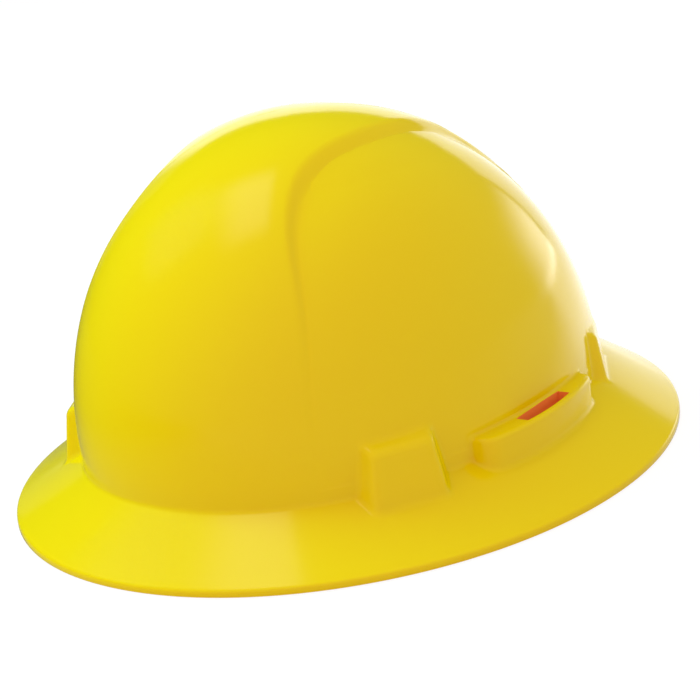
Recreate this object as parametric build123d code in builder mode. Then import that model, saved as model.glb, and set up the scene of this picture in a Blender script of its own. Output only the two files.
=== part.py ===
import os
from math import acos, atan2, cos, degrees, pi, radians, sin, sqrt, tan

from build123d import *

# A full brim hard hat with its four point ratchet suspension.
# Front is -Y, up is +Z, and the brim's edge lies on Z = 0 round the origin.

# Moulded shell
brim_length = 315
brim_width = 287
hat_height = 156
wall = 2.6
rim_height = 2.8
rim_land = 2.4
rim_round = 1.0
crown_base = 21.5
crown_half_width = 104
crown_front = 126
crown_rear = 130
crown_centre = -1.5
crown_lean = 9.5
front_fullness_share = 0.58
rear_fullness_share = 0.62
rim_fullness_share = 0.5523
side_curve_power = 2.15
end_curve_power = 1.97
crown_levels = (0, 12, 24, 36, 48, 58, 67, 75, 81, 86)

# Raised centre panel of the crown, between two leaning walls
panel_rise = 5
panel_skin = 0.15
panel_half_width = 37
panel_half_width_height = 148
panel_wall_slope = 0.38
side_crown_fuller_power = 0.02

# Suspension sockets, seen outside as four lugs
fit_middle = -4.5
lug_x = 93.15
lug_reach = 76.6
lug_turn = radians(58.1)
lug_bottom_width = 31
lug_top_width = 24
lug_height = 39.5
lug_foot = 17
lug_lean = 0.153
lug_flare = 0.435
lug_top_slope = 0.46
lug_depth = 20
lug_round = 2.2

# Accessory slot pads on both sides
pad_length = 82
pad_half_width = 113.6
pad_end_half_width = 106.8
pad_top = 31
pad_corner = 4
pad_round = 1.4
slot_length = 33
slot_inner_x = 104.4
slot_wall = 2.4

# Clearances
clearance = 0.3
running_clearance = 0.08

# Headband
band_radius = 78.5
band_straight = 35
band_wall = 1.8
band_low = 9
band_height = 30
band_end_angle = 50
window_length = 26
window_height = 9

# Hanger keys and webbing
key_width = 23.4
key_floor = 9
key_shelf = 3.5
key_plate = 2.4
key_plate_depth = 25.6
key_top = 40.5
blade_back_depth = 8.7
blade_root_depth = 2.5
blade_tip_depth = 5.6
blade_top = 35.6
eye_width = 20.6
eye_height = 4.5
eye_bar = 3.5
web_width = 19
web_thickness = 1.2
crown_clear_height = 118
web_spring_height = 42
web_crossing_drop = 2.4
loop_top = 43.5
patch_radius = 15
patch_thickness = 3

# Rack and pinion size adjustment at the nape
gear_height = 22.5
gear_module = 1
pinion_teeth = 10
pressure_angle = radians(25)
addendum_share = 0.8
dedendum_share = 1.1
backlash = 0.15
tail_height = 23
shoulder_teeth = 17
tip_teeth = 7
tail_travel = 15
stud_radius = 3
stud_head_radius = 5
stud_head = 1.2
tail_end_margin = 4
housing_half_angle = 31
housing_wall = 2.4
housing_height = 34
channel_clearance = 0.5
boss_radius = 15
boss_height = 6.6
cavity_radius = 11.5
wheel_radius = 9.6
wheel_tooth = 0.7
wheel_teeth = 18
wheel_thickness = 3.4
shaft_radius = 4
spigot_radius = 2.5
drive_square = 5.6
drive_length = 6
spring_thickness = 0.6
spring_nose = 0.65
spring_anchor = 6
knob_radius = 20
knob_thickness = 12
knob_lobes = 12
knob_scallop = 3.2
knob_round = 1.2
knob_recess = 4
screw_radius = 1.2
screw_head_radius = 2.2
screw_head = 1.2
screw_slot = 0.6
cover_screw_angle = 22

# Pads
pad_thickness = 4
brow_half_angle = 72
nape_half_angle = 26

os.makedirs("parts", exist_ok=True)


def save(piece, name):
    piece.label = name
    export_step(piece, f"parts/{name}.step")


# One level of the crown or the brim: four quarter curves round a centre line
def level(half_width, front, rear, centre, height, front_share, rear_share):
    with BuildSketch(Plane.XY.offset(height)) as outline:
        with BuildLine():
            for reach, share in ((rear, rear_share), (-front, front_share)):
                for side in (1, -1):
                    start = (side * half_width, centre)
                    near = (side * half_width, centre + reach * share)
                    far = (side * half_width * share, centre + reach)
                    Bezier(start, near, far, (0, centre + reach))
        make_face()
    return outline.sketch


def rim_level(inset, height):
    half_width = brim_width / 2 - inset
    half_length = brim_length / 2 - inset
    share = rim_fullness_share
    return level(half_width, half_length, half_length, 0, height, share, share)


def crown_level(inset, height):
    width = crown_half_width - inset
    front = crown_front - inset
    rear = crown_rear - inset
    return level(width, front, rear, crown_centre, height, front_fullness_share, rear_fullness_share)


# Levels of a crown that closes at its top, drawn in by an inset all round
def crown_levels_between(inset, base, top, fuller_power):
    levels = []
    side_power = side_curve_power + fuller_power
    end_power = end_curve_power + fuller_power
    for angle in crown_levels:
        rise = sin(radians(angle))
        side_share = (1 - rise**side_power) ** (1 / side_power)
        end_share = (1 - rise**end_power) ** (1 / end_power)
        width = (crown_half_width - inset) * side_share
        front = (crown_front - inset) * end_share
        rear = (crown_rear - inset) * end_share
        centre = crown_centre - crown_lean * rise
        height = base + (top - base) * rise
        levels.append(
            level(width, front, rear, centre, height, front_fullness_share, rear_fullness_share)
        )
    levels.append(Vertex(0, crown_centre - crown_lean, top))
    return levels


# The crown's outer form, or its inner one when drawn in by the wall
def crown_form(inset, base):
    top = hat_height - inset
    foot_half = panel_half_width - inset + panel_wall_slope * panel_half_width_height
    top_half = foot_half - panel_wall_slope * hat_height
    with BuildPart() as panel:
        loft(crown_levels_between(inset, base, top, 0))
        with BuildSketch(Plane.XZ):
            Polygon(
                (-foot_half, 0),
                (foot_half, 0),
                (top_half, hat_height),
                (-top_half, hat_height),
                align=None,
            )
        extrude(amount=brim_length, both=True, mode=Mode.INTERSECT)
    with BuildPart() as form:
        inner = inset + panel_skin
        loft(crown_levels_between(inner, base, top - panel_rise, side_crown_fuller_power))
        add(panel.part)
    return form.part


# Planes at a lug: flat ones have X along the shell's edge and Y inward
def lug_normal(side, end):
    return Vector(side * sin(lug_turn), end * cos(lug_turn), 0)


def lug_origin(side, end, height):
    return Vector(side * lug_x, fit_middle + end * lug_reach, height)


def lug_plan(side, end, height):
    normal = lug_normal(side, end)
    return Plane(origin=lug_origin(side, end, height), x_dir=(-normal.Y, normal.X, 0), z_dir=(0, 0, 1))


# Upright section plane at a lug: X runs inward, Y runs up
def lug_section(side, end):
    normal = lug_normal(side, end)
    return Plane(origin=lug_origin(side, end, 0), x_dir=-normal, z_dir=(-normal.Y, normal.X, 0))


# Upright plane that faces outward at a lug, a given depth behind its outer face
def lug_face(side, end, depth):
    normal = lug_normal(side, end)
    origin = lug_origin(side, end, 0) - normal * depth
    return Plane(origin=origin, x_dir=(-normal.Y, normal.X, 0), z_dir=normal)


corners = [(side, end) for end in (-1, 1) for side in (-1, 1)]
corner_names = {
    (-1, -1): "front_right_key",
    (1, -1): "front_left_key",
    (-1, 1): "rear_right_key",
    (1, 1): "rear_left_key",
}


# Drafted block of a lug, with its top sloping up to the crown
def lug_block(side, end):
    low = crown_base - lug_depth / 2
    high = lug_height + lug_depth * lug_top_slope
    side_draft = (lug_bottom_width - lug_top_width) / 2 / (lug_height - lug_foot)
    side_draft -= lug_flare * lug_lean / 2
    with BuildPart() as block:
        for height in (low, high):
            front = lug_lean * (height - lug_foot)
            half = lug_bottom_width / 2 - side_draft * (height - lug_foot)
            inner = half + lug_flare * (lug_depth - front)
            with BuildSketch(lug_plan(side, end, height)):
                Polygon((-half, front), (half, front), (inner, lug_depth), (-inner, lug_depth), align=None)
        loft(ruled=True)
        with BuildSketch(lug_section(side, end)):
            shoulder = lug_lean * (lug_height - lug_foot)
            Polygon(
                (-lug_depth, low),
                (lug_depth, low),
                (lug_depth, lug_height + lug_top_slope * (lug_depth - shoulder)),
                (shoulder, lug_height),
                (-lug_depth, lug_height),
                align=None,
            )
        extrude(amount=lug_bottom_width * 2, both=True, mode=Mode.INTERSECT)
        outward = Axis(lug_origin(side, end, 0), lug_normal(side, end))
        face = block.faces().sort_by(outward)[-1]
        rounded = face.edges().sort_by(Axis.Z)[1:]
        slopes = block.faces().sort_by(Axis.Z)[-1].edges()
        rounded += slopes.filter_by(lambda edge: abs(edge.tangent_at(0).Z) > lug_lean)
        fillet(rounded, lug_round)
    return block.part


# Blade pocket of a lug: the key's blade with clearance round it, open below
def lug_pocket(side, end):
    with BuildPart() as pocket:
        with BuildSketch(lug_section(side, end)):
            Polygon(
                (blade_root_depth - clearance, 0),
                (blade_back_depth + clearance, 0),
                (blade_back_depth + clearance, blade_top + clearance),
                (blade_tip_depth - clearance, blade_top + clearance),
                (blade_root_depth - clearance, key_floor + key_shelf),
                align=None,
            )
        extrude(amount=key_width / 2 + clearance, both=True)
    return pocket.part


# Side pad round an accessory slot
def pad_outline(inset):
    half = pad_length / 2
    bulge = pad_half_width - pad_end_half_width
    radius = (half**2 + bulge**2) / (2 * bulge) - inset
    return radius, pad_half_width - inset - radius


with BuildPart() as slot_pad:
    with BuildSketch(Plane.XY.offset(crown_base - lug_depth / 2)) as plan:
        pad_radius, pad_centre = pad_outline(0)
        with Locations((pad_centre, fit_middle)):
            Circle(pad_radius)
        with Locations(((crown_half_width - lug_depth + pad_half_width) / 2, fit_middle)):
            Rectangle(pad_half_width - crown_half_width + lug_depth, pad_length, mode=Mode.INTERSECT)
        fillet(plan.vertices().group_by(Axis.X)[-1], pad_corner)
    extrude(amount=pad_top - crown_base + lug_depth / 2)
    top_edges = slot_pad.faces().sort_by(Axis.Z)[-1].edges().sort_by(Axis.X)[1:]
    fillet(top_edges, pad_round)

with BuildPart() as slot_cut:
    with BuildSketch():
        cut_radius, cut_centre = pad_outline(slot_wall)
        with Locations((cut_centre, fit_middle)):
            Circle(cut_radius)
        with Locations(((slot_inner_x + pad_half_width) / 2, fit_middle)):
            Rectangle(pad_half_width - slot_inner_x, slot_length, mode=Mode.INTERSECT)
    extrude(amount=hat_height / 2)

under_slope = (crown_base - rim_height) / (brim_width / 2 - crown_half_width)
under_drop = wall * sqrt(1 + under_slope**2)
under_base = crown_base + wall * under_slope - under_drop

with BuildPart() as brim:
    loft([rim_level(0, 0), rim_level(0, rim_height), crown_level(0, crown_base)], ruled=True)
    fillet(brim.edges().filter_by_position(Axis.Z, rim_height, rim_height), rim_round)

with BuildPart() as hollow:
    add(crown_form(wall, under_base))
    loft([rim_level(rim_land, 0), crown_level(wall, under_base)], ruled=True)

with BuildPart() as shell:
    add(crown_form(0, crown_base))
    add(brim.part)
    for side, end in corners:
        add(lug_block(side, end))
    add(slot_pad.part)
    add(slot_pad.part.mirror(Plane.YZ))
    add(hollow.part, mode=Mode.SUBTRACT)
    for side, end in corners:
        add(lug_pocket(side, end), mode=Mode.SUBTRACT)
    add(slot_cut.part, mode=Mode.SUBTRACT)
    add(slot_cut.part.mirror(Plane.YZ), mode=Mode.SUBTRACT)
save(shell.part, "shell")

# Headband plan: two half rings joined by straight sides
front_centre = fit_middle - band_straight / 2
rear_centre = fit_middle + band_straight / 2
band_outer = band_radius + band_wall / 2
band_inner = band_radius - band_wall / 2
band_top = band_low + band_height


# Upright plane through the axis of a ring, at an angle from +X round that axis
def ring_plane(centre, angle):
    turn = radians(angle)
    return Plane(
        origin=(0, centre, 0),
        x_dir=(cos(turn), sin(turn), 0),
        z_dir=(sin(turn), -cos(turn), 0),
    )


# Upright plane that faces outward from the axis of a ring
def ring_face(centre, angle, radius, height):
    turn = radians(angle)
    outward = Vector(cos(turn), sin(turn), 0)
    origin = Vector(0, centre, height) + outward * radius
    return Plane(origin=origin, x_dir=(-outward.Y, outward.X, 0), z_dir=outward)


# Strip of a ring between two radii, two heights and two angles
def ring_strip(centre, radii, heights, angles):
    with BuildPart() as strip:
        with BuildSketch(ring_plane(centre, angles[0])):
            with Locations(((radii[0] + radii[1]) / 2, (heights[0] + heights[1]) / 2)):
                Rectangle(radii[1] - radii[0], heights[1] - heights[0])
        revolve(axis=Axis((0, centre, 0), (0, 0, 1)), revolution_arc=angles[1] - angles[0])
    return strip.part


# Round hole or peg that points outward from a ring
def ring_peg(centre, angle, radius, start, end, height):
    with BuildPart() as peg:
        with BuildSketch(ring_face(centre, angle, start, height)):
            Circle(radius)
        extrude(amount=end - start)
    return peg.part


hanger_height = key_floor + key_shelf + stud_head_radius
band_depth = {}
for side, end in corners:
    centre = front_centre if end < 0 else rear_centre
    normal = lug_normal(side, end)
    reach = (lug_origin(side, end, 0) - Vector(0, centre, 0)).dot(normal)
    band_depth[(side, end)] = reach - band_outer


# Stud that joins a hanger key to the band, or the hole for it when grown
def hanger_stud(side, end, grow):
    face_depth = band_depth[(side, end)]
    plate_back = key_plate_depth + key_plate
    spans = [(face_depth + band_wall, key_plate_depth - clearance, stud_radius + grow)]
    if not grow:
        head_seat = key_plate_depth - clearance
        spans.append((head_seat, head_seat - stud_head, stud_head_radius))
        if end < 0:
            spans.append((face_depth - clearance, plate_back + clearance, stud_head_radius))
    with BuildPart() as stud:
        for inner, outer, radius in spans:
            with BuildSketch(lug_face(side, end, inner)):
                with Locations((0, hanger_height)):
                    Circle(radius)
            extrude(amount=inner - outer)
    return stud.part


with BuildPart() as headband:
    with BuildSketch(Plane.XY.offset(band_low)):
        with Locations((0, fit_middle)):
            SlotCenterToCenter(band_straight, 2 * band_outer, rotation=90)
            SlotCenterToCenter(band_straight, 2 * band_inner, rotation=90, mode=Mode.SUBTRACT)
        gap_reach = brim_length / cos(radians(band_end_angle))
        gap_x = gap_reach * sin(radians(band_end_angle))
        gap_y = gap_reach * cos(radians(band_end_angle))
        Polygon(
            (0, rear_centre),
            (gap_x, rear_centre + gap_y),
            (-gap_x, rear_centre + gap_y),
            align=None,
            mode=Mode.SUBTRACT,
        )
    extrude(amount=band_height)
    with BuildSketch(Plane.YZ):
        with Locations((fit_middle, band_low + band_height / 2)):
            SlotOverall(window_length, window_height)
    extrude(amount=brim_width, both=True, mode=Mode.SUBTRACT)
    for side, end in corners:
        add(hanger_stud(side, end, running_clearance), mode=Mode.SUBTRACT)
save(headband.part, "headband")


# Hanger key: blade for the shell's socket, shelf under the brim, plate for the webbing
def hanger_key(side, end):
    shelf_top = key_floor + key_shelf
    plate_back = key_plate_depth + key_plate
    with BuildPart() as key:
        with BuildSketch(lug_section(side, end)) as hook:
            Polygon(
                (blade_root_depth, key_floor),
                (plate_back, key_floor),
                (plate_back, key_top),
                (key_plate_depth, key_top),
                (key_plate_depth, shelf_top),
                (blade_back_depth, shelf_top),
                (blade_back_depth, blade_top),
                (blade_tip_depth, blade_top),
                (blade_root_depth, shelf_top),
                align=None,
            )
            fillet(hook.vertices().sort_by(Axis.Z)[:2], key_shelf / 3)
        extrude(amount=key_width / 2, both=True)
        with BuildSketch(lug_face(side, end, plate_back + wall)):
            with Locations((0, key_top - eye_bar - eye_height / 2)):
                Rectangle(eye_width, eye_height)
        extrude(amount=key_plate + 2 * wall, mode=Mode.SUBTRACT)
        add(hanger_stud(side, end, running_clearance), mode=Mode.SUBTRACT)
    return key.part


for side, end in corners:
    save(hanger_key(side, end), corner_names[(side, end)])

hanger_studs = Compound([hanger_stud(side, end, 0) for side, end in corners])
save(hanger_studs, "hanger_studs")


# One crown strap: an arch of webbing between two opposite keys, with a loop round each eye bar
def crown_strap(side, drop):
    normal = lug_normal(side, -1)
    middle = Vector(0, fit_middle, 0)
    face_reach = (lug_origin(side, -1, 0) - middle).dot(normal)
    plate_back = key_plate_depth + key_plate
    leg_reach = face_reach - plate_back - clearance - web_thickness / 2
    plate_point = lug_origin(side, -1, 0) - normal * plate_back
    run = (plate_point - middle).normalized()
    upright = Plane(origin=middle, x_dir=normal, z_dir=(normal.Y, -normal.X, 0))
    half = web_thickness / 2
    top = crown_clear_height - drop - web_spring_height
    eye_bottom = key_top - eye_bar - clearance
    loop_low = eye_bottom - web_thickness
    loop_depth = key_plate + 2 * clearance + 2 * web_thickness
    with BuildPart() as strap:
        with BuildSketch(upright):
            with Locations((0, web_spring_height)):
                Ellipse(leg_reach + half, top + half)
                Ellipse(leg_reach - half, top - half, mode=Mode.SUBTRACT)
                with Locations((0, -hat_height / 2)):
                    Rectangle(brim_width, hat_height, mode=Mode.SUBTRACT)
            for way in (1, -1):
                with Locations((way * leg_reach, (loop_low + web_spring_height) / 2)):
                    Rectangle(web_thickness, web_spring_height - loop_low)
                loop_centre = leg_reach - half + loop_depth / 2
                with Locations((way * loop_centre, (loop_low + loop_top) / 2)):
                    Rectangle(loop_depth, loop_top - loop_low)
                    Rectangle(
                        loop_depth - 2 * web_thickness,
                        loop_top - loop_low - 2 * web_thickness,
                        mode=Mode.SUBTRACT,
                    )
        extrude(amount=brim_width / 4, both=True)
        with BuildSketch(Plane(origin=middle, x_dir=run, z_dir=(0, 0, 1))):
            Rectangle(brim_length, web_width)
        extrude(amount=hat_height, mode=Mode.INTERSECT)
    return strap.part


save(crown_strap(1, 0), "front_left_strap")
save(crown_strap(-1, web_crossing_drop), "front_right_strap")

patch_top = crown_clear_height - web_crossing_drop - web_thickness / 2 - clearance
with BuildPart() as crown_patch:
    patch_drop = patch_radius / 5
    patch_sphere = (patch_radius**2 + patch_drop**2) / (2 * patch_drop)
    patch_edge = patch_top - patch_drop
    patch_floor = patch_edge - patch_thickness
    with BuildSketch(Plane.XZ.offset(-fit_middle)):
        with BuildLine():
            Line((0, patch_floor), (0, patch_top))
            ThreePointArc(
                (0, patch_top),
                (patch_radius / 2, patch_top - patch_sphere + sqrt(patch_sphere**2 - patch_radius**2 / 4)),
                (patch_radius, patch_edge),
            )
            Line((patch_radius, patch_edge), (patch_radius, patch_floor))
            Line((patch_radius, patch_floor), (0, patch_floor))
        make_face()
    revolve(axis=Axis((0, fit_middle, 0), (0, 0, 1)))
save(crown_patch.part, "crown_patch")

brow_outer = band_inner - clearance
brow_pad = ring_strip(
    front_centre,
    (brow_outer - pad_thickness, brow_outer),
    (band_low, band_top),
    (270 - brow_half_angle, 270 + brow_half_angle),
)
save(brow_pad, "brow_pad")

# Size adjustment: two tails run round the rear ring in the housing, and end in racks
pitch_radius = gear_module * pinion_teeth / 2
tail_inner = band_outer + clearance
tail_outer = tail_inner + band_wall
tail_radius = (tail_inner + tail_outer) / 2
tail_low = gear_height - tail_height / 2
tail_high = gear_height + tail_height / 2
addendum = addendum_share * gear_module
dedendum = dedendum_share * gear_module
tooth_half = pi * gear_module / 4 - backlash / 2
tooth_pitch_angle = degrees(pi * gear_module / tail_radius)
travel_angle = degrees(tail_travel / tail_radius)
stud_angle_half = degrees(stud_radius / tail_radius)
guide_point = lug_origin(1, 1, 0) - lug_normal(1, 1) * band_depth[(1, 1)]
guide_angle = degrees(atan2(guide_point.X, guide_point.Y - rear_centre))
tail_end_angle = guide_angle + travel_angle + stud_angle_half + degrees(tail_end_margin / tail_radius)
shoulder_angle = shoulder_teeth * tooth_pitch_angle
tip_angle = tip_teeth * tooth_pitch_angle


# Band tail that ends in a rack above the pinion for side 1, and below it for side -1
def rack_tail(side):
    root = gear_height + side * (pitch_radius + dedendum)
    edge = tail_high if side > 0 else tail_low
    radii = (tail_inner, tail_outer)
    strips = [
        (tail_low, tail_high, shoulder_angle, tail_end_angle),
        (min(root, edge), max(root, edge), -tip_angle, shoulder_angle),
    ]
    slot_half = stud_radius + running_clearance
    with BuildPart() as tail:
        for low, high, near, far in strips:
            angles = sorted((90 - side * near, 90 - side * far))
            add(ring_strip(rear_centre, radii, (low, high), angles))
        for number in range(shoulder_teeth + tip_teeth):
            angle = 90 + side * (tip_teeth - number - 1 / 2) * tooth_pitch_angle
            flank_root = tooth_half + dedendum * tan(pressure_angle)
            flank_tip = tooth_half - addendum * tan(pressure_angle)
            with BuildSketch(ring_face(rear_centre, angle, tail_inner, root)):
                Polygon(
                    (-flank_root, side * dedendum / 4),
                    (-flank_root, 0),
                    (-flank_tip, -side * (addendum + dedendum)),
                    (flank_tip, -side * (addendum + dedendum)),
                    (flank_root, 0),
                    (flank_root, side * dedendum / 4),
                    align=None,
                )
            extrude(amount=band_wall)
        slot_angle = 90 - side * guide_angle
        slot_ends = (slot_angle - travel_angle, slot_angle + travel_angle)
        slot_heights = (hanger_height - slot_half, hanger_height + slot_half)
        slot_radii = (tail_inner - wall, tail_outer + wall)
        add(ring_strip(rear_centre, slot_radii, slot_heights, slot_ends), mode=Mode.SUBTRACT)
        for angle in slot_ends:
            add(
                ring_peg(rear_centre, angle, slot_half, slot_radii[0], slot_radii[1], hanger_height),
                mode=Mode.SUBTRACT,
            )
    return tail.part


save(rack_tail(-1), "right_rack_tail")
save(rack_tail(1), "left_rack_tail")


# Stations along the knob's axis, measured from the axis of the rear ring
housing_inner = band_outer - housing_wall
channel_outer = tail_outer + channel_clearance
cover_inner = channel_outer + running_clearance
cover_outer = cover_inner + housing_wall
boss_outer = cover_inner + boss_height
cavity_end = boss_outer - housing_wall
pinion_start = band_outer + channel_clearance / 2
wheel_start = cover_inner + clearance
wheel_end = wheel_start + wheel_thickness
knob_start = boss_outer + clearance
drive_end = knob_start + drive_length
recess_floor = knob_start + knob_thickness - knob_recess
housing_low = gear_height - housing_height / 2
housing_high = gear_height + housing_height / 2
channel_low = tail_low - channel_clearance
channel_high = tail_high + channel_clearance
housing_angles = (90 - housing_half_angle, 90 + housing_half_angle)
screw_spots = [
    (90 + way * cover_screw_angle, height)
    for way in (1, -1)
    for height in ((housing_low + channel_low) / 2, (housing_high + channel_high) / 2)
]


def knob_face(station):
    return ring_face(rear_centre, 90, station, gear_height)


# Slotted pan head screw whose head sits on a plane
def screw(seat, length):
    with BuildPart() as piece:
        with BuildSketch(seat):
            Circle(screw_head_radius)
        extrude(amount=screw_head)
        fillet(piece.edges().filter_by(GeomType.CIRCLE).sort_by(Axis.Y)[-1], screw_head / 2)
        with BuildSketch(seat.offset(screw_head)):
            Rectangle(2 * screw_head_radius, screw_slot)
        extrude(amount=-screw_slot, mode=Mode.SUBTRACT)
        with BuildSketch(seat):
            Circle(screw_radius)
        extrude(amount=-length)
    return piece.part


def screw_hole(angle, height):
    hole = screw_radius + running_clearance
    return ring_peg(rear_centre, angle, hole, band_outer, cover_outer + wall, height)


with BuildPart() as ratchet_housing:
    radii = (housing_inner, band_outer)
    add(ring_strip(rear_centre, radii, (housing_low, housing_high), housing_angles))
    for heights in ((housing_low, channel_low), (channel_high, housing_high)):
        add(ring_strip(rear_centre, (band_outer, channel_outer), heights, housing_angles))
    for angle, height in screw_spots:
        add(screw_hole(angle, height), mode=Mode.SUBTRACT)
    with BuildSketch(knob_face(housing_inner - wall)):
        Circle(spigot_radius + running_clearance)
    extrude(amount=housing_wall + 2 * wall, mode=Mode.SUBTRACT)
save(ratchet_housing.part, "ratchet_housing")

with BuildPart() as ratchet_cover:
    add(ring_strip(rear_centre, (cover_inner, cover_outer), (housing_low, housing_high), housing_angles))
    with BuildSketch(knob_face(cover_inner)):
        Circle(boss_radius)
    extrude(amount=boss_height)
    fillet(ratchet_cover.faces().sort_by(Axis.Y)[-1].edges(), knob_round)
    with BuildSketch(knob_face(band_outer)):
        Circle(cavity_radius)
    extrude(amount=cavity_end - band_outer, mode=Mode.SUBTRACT)
    with BuildSketch(knob_face(cover_inner + clearance)):
        Circle(cavity_radius + wall / 2)
        Circle(wheel_radius + clearance + spring_nose, mode=Mode.SUBTRACT)
        with Locations((0, -cavity_radius)):
            Rectangle(spring_anchor, cavity_radius, mode=Mode.INTERSECT)
    extrude(amount=cavity_end - cover_inner)
    with BuildSketch(knob_face(cover_inner)):
        Circle(shaft_radius + running_clearance)
    extrude(amount=boss_height + wall, mode=Mode.SUBTRACT)
    for angle, height in screw_spots:
        add(screw_hole(angle, height), mode=Mode.SUBTRACT)
save(ratchet_cover.part, "ratchet_cover")

cover_screw_length = cover_outer - band_outer - clearance
cover_screws = Compound(
    [
        screw(ring_face(rear_centre, angle, cover_outer, height), cover_screw_length)
        for angle, height in screw_spots
    ]
)
save(cover_screws, "cover_screws")

# Detent spring: an open ring round the wheel with a nose between two of its teeth
with BuildPart() as detent_spring:
    spring_outer = cavity_radius - clearance
    spring_inner = spring_outer - spring_thickness
    with BuildSketch(knob_face(wheel_start + clearance)):
        Circle(spring_outer)
        Circle(spring_inner, mode=Mode.SUBTRACT)
        with Locations((0, -cavity_radius)):
            Rectangle(spring_anchor + 2 * clearance, cavity_radius, mode=Mode.SUBTRACT)
        Polygon(
            (-2 * spring_nose, spring_inner + spring_thickness / 2),
            (0, spring_inner - spring_nose),
            (2 * spring_nose, spring_inner + spring_thickness / 2),
            align=None,
        )
    extrude(amount=wheel_thickness - clearance)
save(detent_spring.part, "detent_spring")


# Half angle of a pinion tooth at a radius, between its involute flanks
def pinion_half_angle(radius):
    base = pitch_radius * cos(pressure_angle)
    at_pitch = tan(pressure_angle) - pressure_angle
    flank = acos(min(1, base / radius))
    return tooth_half / pitch_radius + at_pitch - (tan(flank) - flank)


pinion_tip = pitch_radius + addendum
pinion_root = pitch_radius - dedendum
pinion_points = []
for number in range(pinion_teeth):
    middle_angle = pi / 2 + 2 * pi * number / pinion_teeth
    base_radius = pitch_radius * cos(pressure_angle)
    rising = [pinion_root, base_radius, (base_radius + pitch_radius) / 2, pitch_radius]
    rising += [(pitch_radius + pinion_tip) / 2, pinion_tip]
    flank_points = [(radius, pinion_half_angle(radius)) for radius in rising]
    for radius, half_angle in flank_points:
        angle = middle_angle - half_angle
        pinion_points.append((radius * cos(angle), radius * sin(angle)))
    for radius, half_angle in reversed(flank_points):
        angle = middle_angle + half_angle
        pinion_points.append((radius * cos(angle), radius * sin(angle)))

wheel_points = []
for number in range(2 * wheel_teeth):
    angle = pi / 2 + pi * number / wheel_teeth
    radius = wheel_radius if number % 2 else wheel_radius - wheel_tooth
    wheel_points.append((radius * cos(angle), radius * sin(angle)))

with BuildPart() as ratchet_pinion:
    with BuildSketch(knob_face(pinion_start)):
        Polygon(*pinion_points, align=None)
    extrude(amount=wheel_start - pinion_start)
    with BuildSketch(knob_face(wheel_start)):
        Polygon(*wheel_points, align=None)
    extrude(amount=wheel_thickness)
    with BuildSketch(knob_face(wheel_end)):
        Circle(shaft_radius)
    extrude(amount=knob_start - running_clearance - wheel_end)
    with BuildSketch(knob_face(wheel_end)):
        Rectangle(drive_square, drive_square)
    extrude(amount=drive_end - wheel_end)
    with BuildSketch(knob_face(housing_inner)):
        Circle(spigot_radius)
    extrude(amount=pinion_start - housing_inner)
    with BuildSketch(knob_face(drive_end)):
        Circle(screw_radius + running_clearance)
    extrude(amount=-drive_length - clearance, mode=Mode.SUBTRACT)
save(ratchet_pinion.part, "ratchet_pinion")

with BuildPart() as ratchet_knob:
    with BuildSketch(knob_face(knob_start)) as lobes:
        Circle(knob_radius)
        with PolarLocations(knob_radius + knob_scallop / 2, knob_lobes):
            Circle(knob_scallop, mode=Mode.SUBTRACT)
        fillet(lobes.vertices(), knob_round)
    extrude(amount=knob_thickness)
    fillet(ratchet_knob.faces().sort_by(Axis.Y)[-1].edges(), knob_round)
    with BuildSketch(knob_face(knob_start)):
        socket = drive_square + 2 * running_clearance
        Rectangle(socket, socket)
    extrude(amount=drive_length + clearance, mode=Mode.SUBTRACT)
    with BuildSketch(knob_face(knob_start)):
        Circle(screw_radius + running_clearance)
    extrude(amount=knob_thickness, mode=Mode.SUBTRACT)
    with BuildSketch(knob_face(recess_floor)):
        Circle(screw_head_radius + clearance)
    extrude(amount=knob_recess, mode=Mode.SUBTRACT)
save(ratchet_knob.part, "ratchet_knob")

save(screw(knob_face(recess_floor), recess_floor - knob_start - clearance), "knob_screw")

nape_pad = ring_strip(
    rear_centre,
    (housing_inner - clearance - pad_thickness, housing_inner - clearance),
    (housing_low + wall, housing_high - wall),
    (90 - nape_half_angle, 90 + nape_half_angle),
)
save(nape_pad, "nape_pad")
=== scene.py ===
import math

import bmesh
import bpy
import numpy as np
from mathutils import Matrix, Vector


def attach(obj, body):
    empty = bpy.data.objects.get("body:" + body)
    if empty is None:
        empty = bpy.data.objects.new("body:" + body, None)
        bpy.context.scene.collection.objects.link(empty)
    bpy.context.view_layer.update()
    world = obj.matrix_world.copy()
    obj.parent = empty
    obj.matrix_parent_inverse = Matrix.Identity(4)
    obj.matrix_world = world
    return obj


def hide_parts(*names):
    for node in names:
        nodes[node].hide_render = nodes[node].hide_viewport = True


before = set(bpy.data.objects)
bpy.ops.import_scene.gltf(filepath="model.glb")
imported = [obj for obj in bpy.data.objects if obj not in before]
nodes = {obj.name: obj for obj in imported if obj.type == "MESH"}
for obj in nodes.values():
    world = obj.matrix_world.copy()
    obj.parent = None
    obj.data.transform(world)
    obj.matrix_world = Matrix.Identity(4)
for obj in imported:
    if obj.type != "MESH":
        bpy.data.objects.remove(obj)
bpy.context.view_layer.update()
mm = 0.001


# Linear colour of an sRGB hex value, made darker or lighter by a share
def srgb(code, share=1.0):
    channels = [int(code[i : i + 2], 16) / 255 for i in (1, 3, 5)]
    linear = [c / 12.92 if c <= 0.04045 else ((c + 0.055) / 1.055) ** 2.4 for c in channels]
    return (*(min(v * share, 1.0) for v in linear), 1.0)


# Writes a value in its socket, and links another node's output to it
def fillSockets(tree, node, inputs):
    for socket, value in inputs.items():
        if isinstance(value, bpy.types.NodeSocket):
            tree.links.new(value, node.inputs[socket])
        else:
            node.inputs[socket].default_value = value


# Adds a node. A colour Mix takes its colours at sockets 6 and 7 and gives the mix at 2
def addNode(tree, kind, inputs=None, **settings):
    node = tree.nodes.new(kind)
    for name, value in settings.items():
        setattr(node, name, value)
    fillSockets(tree, node, inputs or {})
    return node


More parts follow.
